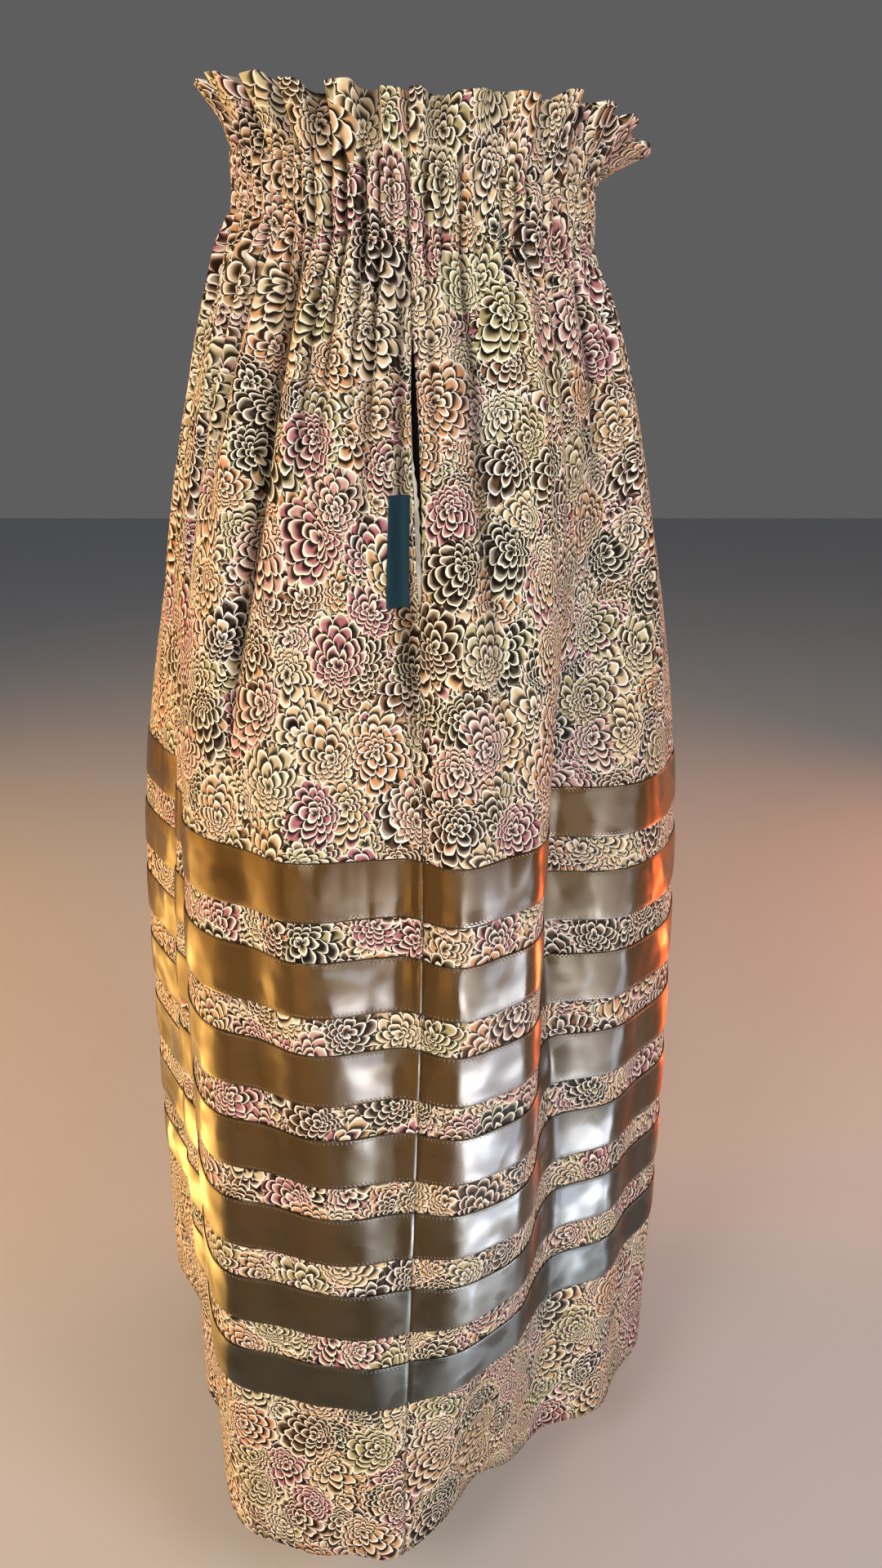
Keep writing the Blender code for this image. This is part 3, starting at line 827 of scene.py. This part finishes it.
def build_facing(cotton):
    """The pocket's facing: from behind the front panel it shows as a pale lip in the slit, widest beside
    the label and wavy along its edge, then folds back inwards and comes up behind the back panel's edge.
    Each row is one open path, carried up the slit."""
    heights = np.linspace(SLIT_FOOT, SLIT_TOP, 61)
    behind = np.array([0.016, 0.011, 0.006, 0.0025, 0.0]) / CLOTH_WIDTH
    sheets = {}
    for word, side in SIDES.items():
        share, height = np.meshgrid(np.concatenate([behind[::-1], [0.0220 / CLOTH_WIDTH]]), heights)
        points = cloth_points(side, share, height)
        sheets[word] = (points - FACING_DEPTH * surface_normals(points, side))[:, :5]
    front, back = sheets["front"][:, ::-1], sheets["back"]
    bridge = back[:, 0] - front[:, -1]
    inward = -front[:, -1] * np.array([1, 1, 0])
    inward /= np.linalg.norm(inward, axis=-1, keepdims=True)
    lip = 0.60 * (1 - ease(heights, LABEL_TOP - 0.010, LABEL_TOP + 0.045)) + 0.05
    lip = (lip * (1 + 0.10 * wave(heights, 90) + 0.06 * wave(heights, 221, 0.3)))[:, None]
    # Shares of the way over the slit, which the lip's own width scales at first, and depths behind it.
    over_lip = ((0.9, 0.0002), (1.0, 0.0012), (0.8, 0.004), (0.6, 0.014))
    fold = [front[:, -1] + share * lip * bridge + deep * inward for share, deep in over_lip]
    fold += [front[:, -1] + share * bridge + deep * inward for share, deep in ((0.9, 0.015), (1.0, 0.006))]
    points = np.concatenate([front, np.stack(fold, axis=1), back], axis=1)
    steps = np.linalg.norm(np.diff(points, axis=1, prepend=points[:, :1]), axis=-1)
    length = np.cumsum(steps, axis=1)
    length = length - length[:, 6:7]
    uvs = np.stack([length, np.broadcast_to(heights[:, None], length.shape)], axis=-1)
    mesh = grid_mesh("pocket_facing_cotton", points, uvs, False)
    piece = cloth_piece("pocket_facing_cotton", mesh, FACING_WALL, [cotton])
    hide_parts("pocket_facing")


def stitch_row(name, side, height, thread):
    """A row of stitches round a panel at a height: each one a short spindle of six sides lying along the
    cloth, sunk at both ends. All are worked out together, from their middles and the cloth's direction."""
    share = np.arange(0.004, CLOTH_WIDTH - 0.004, STITCH_PITCH) / CLOTH_WIDTH
    step = 0.0004 / CLOTH_WIDTH
    grid_share, grid_height = np.meshgrid(share, [height - 0.0005, height, height + 0.0005])
    points = cloth_points(side, grid_share, grid_height)
    out = surface_normals(points, side)[1]
    ahead = cloth_points(side, share + step, height) - cloth_points(side, share - step, height)
    ahead /= np.linalg.norm(ahead, axis=-1, keepdims=True)
    third = np.cross(out, ahead)
    middle = points[1] + 0.0003 * out
    turn = np.linspace(0, 2 * np.pi, 6, endpoint=False)[None, :, None]
    round_thread = np.cos(turn) * out[:, None] + np.sin(turn) * third[:, None]
    # Along the stitch as a share of the pitch, thickness as a share of the thread's, and rise in metres.
    stations = ((-0.42, 0.10, -0.00021), (-0.25, 1.0, 0.0), (0.25, 1.0, 0.0), (0.42, 0.10, -0.00021))
    rings = []
    for along, thick, rise in stations:
        centre = middle + along * STITCH_PITCH * ahead + rise * out
        rings.append(centre[:, None] + STITCH_RADIUS * thick * round_thread)
    points = np.stack(rings, axis=1)
    number = np.arange(points.size // 3).reshape(points.shape[:3])
    following = np.roll(number, -1, axis=2)
    sides = np.stack([number[:, :-1], following[:, :-1], following[:, 1:], number[:, 1:]], axis=-1)
    faces = [tuple(face) for face in sides.reshape(-1, 4)[:, ::-1]]
    faces += [tuple(face) for face in number[:, 0]] + [tuple(face[::-1]) for face in number[:, -1]]
    mesh = bpy.data.meshes.new(name)
    mesh.from_pydata(points.reshape(-1, 3).tolist(), [], faces)
    mesh.polygons.foreach_set("use_smooth", np.ones(len(mesh.polygons), dtype=bool))
    uvs = np.zeros((len(mesh.loops), 2), dtype=np.float32)
    mesh.uv_layers.new(name="cloth").uv.foreach_set("vector", uvs.ravel())
    mesh.materials.append(thread)
    piece = bpy.data.objects.new(name, mesh)
    bpy.context.scene.collection.objects.link(piece)
    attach(piece, "root")


def dress_skirt():
    """Makes every piece of the skirt with its finish."""
    threads = woven_threads()
    printed = petal_print()
    right_side = printed_cotton("printed_cotton_face", printed, threads, 0.0)
    wrong_side = printed_cotton("printed_cotton_back", printed, threads, 0.62)
    satins = [satin_ribbon(f"bronze_satin_{k}", *tones) for k, tones in enumerate(RIBBON_COLOURS, start=1)]
    thread = plain_cloth("sewing_thread", (0.30, 0.22, 0.14), threads, 3000.0, 0.55)
    for word, side in SIDES.items():
        build_panel(word, side, right_side, wrong_side)
        for number, satin in enumerate(satins, start=1):
            build_ribbon(word, side, number, satin)
        for line, height, _ in STITCH_ROWS:
            stitch_row(f"{word}_{line}_stitches", side, height, thread)
    weave = plain_cloth("dark_label_weave", (0.004, 0.030, 0.050), threads, 1800.0, 0.50)
    build_label(weave)
    # The facing is painted near black from its fold inwards, as shade inside the pocket.
    cotton = plain_cloth("plain_cotton", (0.72, 0.69, 0.64), threads, 2400.0, 0.75, POCKET_PAINTED_SHADE)
    build_facing(cotton)


FLOOR_HEIGHT = -WAIST_HEIGHT - 0.09
STRIP_HEIGHT = FLOOR_HEIGHT + 0.01
LIGHTS = (
    # name, place, aim, width and height in metres, power in watts, colour
    ("front_softbox", (-0.15, -2.6, 0.6), (0, 0, -0.25), (0.6, 1.8), 30, (1.0, 0.95, 0.87)),
    ("key_light", (-1.2, -2.2, 1.3), (0, 0, -0.3), (0.8, 0.8), 22, (1.0, 0.92, 0.76)),
    ("left_gold_light", (-2.2, 0.4, 0.1), (0, 0, -0.45), (1.6, 2.0), 52, (1.0, 0.46, 0.08)),
    ("right_fill_light", (1.7, -1.7, 0.9), (0, 0, -0.35), (1.0, 1.0), 27, (1.0, 0.90, 0.80)),
    ("right_red_light", (1.7, 1.1, 0.1), (0, 0, -0.45), (1.2, 1.6), 20, (1.0, 0.34, 0.14)),
    ("low_gold_light", (-0.9, -1.7, -0.85), (0, 0, -0.8), (1.2, 0.3), 8, (1.0, 0.50, 0.12)),
    ("top_light", (0.0, 0.4, 2.4), (0, 0, -0.2), (1.5, 1.5), 10, (1.0, 1.0, 1.0)),
)
GLOSS_STRIPS = (
    # name, x, y, size along x and y in metres, power in watts, colour
    ("front_strip", 0.46, -1.05, (0.36, 1.4), 66, (0.66, 0.78, 1.0)),
    ("right_strip", 1.05, -0.36, (1.10, 0.34), 28, (0.66, 0.78, 1.0)),
    ("left_gold_strip", -1.00, 0.02, (1.2, 0.54), 19, (1.0, 0.56, 0.13)),
    ("back_gold_strip", -1.25, 0.55, (0.9, 0.50), 9, (1.0, 0.56, 0.13)),
    ("right_red_strip", 1.05, 0.62, (0.9, 0.34), 23, (1.0, 0.13, 0.03)),
)
CAMERA_PLACE = (0.027, -0.9, -0.13)
CAMERA_TILT = 71.5
CAMERA_LENS = 26


def area_light(name, place, aim, sizes, power, colour):
    """A soft rectangular light at a place, turned to an aim, that the camera doesn't see itself."""
    lamp = bpy.data.lights.new(name, "AREA")
    lamp.shape = "RECTANGLE"
    lamp.size, lamp.size_y, lamp.energy, lamp.color = *sizes, power, colour
    holder = bpy.data.objects.new(name, lamp)
    bpy.context.scene.collection.objects.link(holder)
    holder.location = place
    way = np.array(aim, float) - np.array(place, float)
    way /= np.linalg.norm(way)
    level = abs(way[2]) > 0.999
    holder.rotation_euler = (math.acos(-way[2]), 0, 0 if level else math.atan2(way[1], way[0]) - math.pi / 2)
    holder.visible_camera = False
    return holder


def set_studio():
    """A plain pale floor below the hem, soft light, strips of light just over the floor that only the satin's
    gloss shows, and the camera at the photograph's angle."""
    points = np.array([[(x, y, FLOOR_HEIGHT) for x in (-9, 9)] for y in (-9, 9)], float)
    floor = bpy.data.objects.new("floor", grid_mesh("floor", points, points[..., :2], False))
    bpy.context.scene.collection.objects.link(floor)
    pale, _, shader, _ = new_finish("pale_floor")
    shader.inputs["Base Color"].default_value = (0.53, 0.55, 0.58, 1)
    shader.inputs["Roughness"].default_value = 0.9
    floor.data.materials.append(pale)
    world = bpy.data.worlds.new("soft_room")
    bpy.context.scene.world = world
    world.use_nodes = True
    sky = world.node_tree.nodes["Background"]
    sky.inputs["Color"].default_value = (0.80, 0.80, 0.82, 1)
    sky.inputs["Strength"].default_value = 0.14
    for light in LIGHTS:
        area_light(*light)
    for name, x, y, sizes, power, colour in GLOSS_STRIPS:
        strip = area_light(name, (x, y, STRIP_HEIGHT), (x, y, 0), sizes, power, colour)
        strip.visible_diffuse = False
    bpy.context.scene.view_settings.view_transform = "Standard"
    view = bpy.data.cameras.new("camera")
    view.lens, view.sensor_width = CAMERA_LENS, 36
    view.clip_start = 0.01
    camera = bpy.data.objects.new("camera", view)
    bpy.context.scene.collection.objects.link(camera)
    camera.location = CAMERA_PLACE
    camera.rotation_euler = (math.radians(CAMERA_TILT), 0, 0)
    bpy.context.scene.camera = camera


dress_skirt()
set_studio()
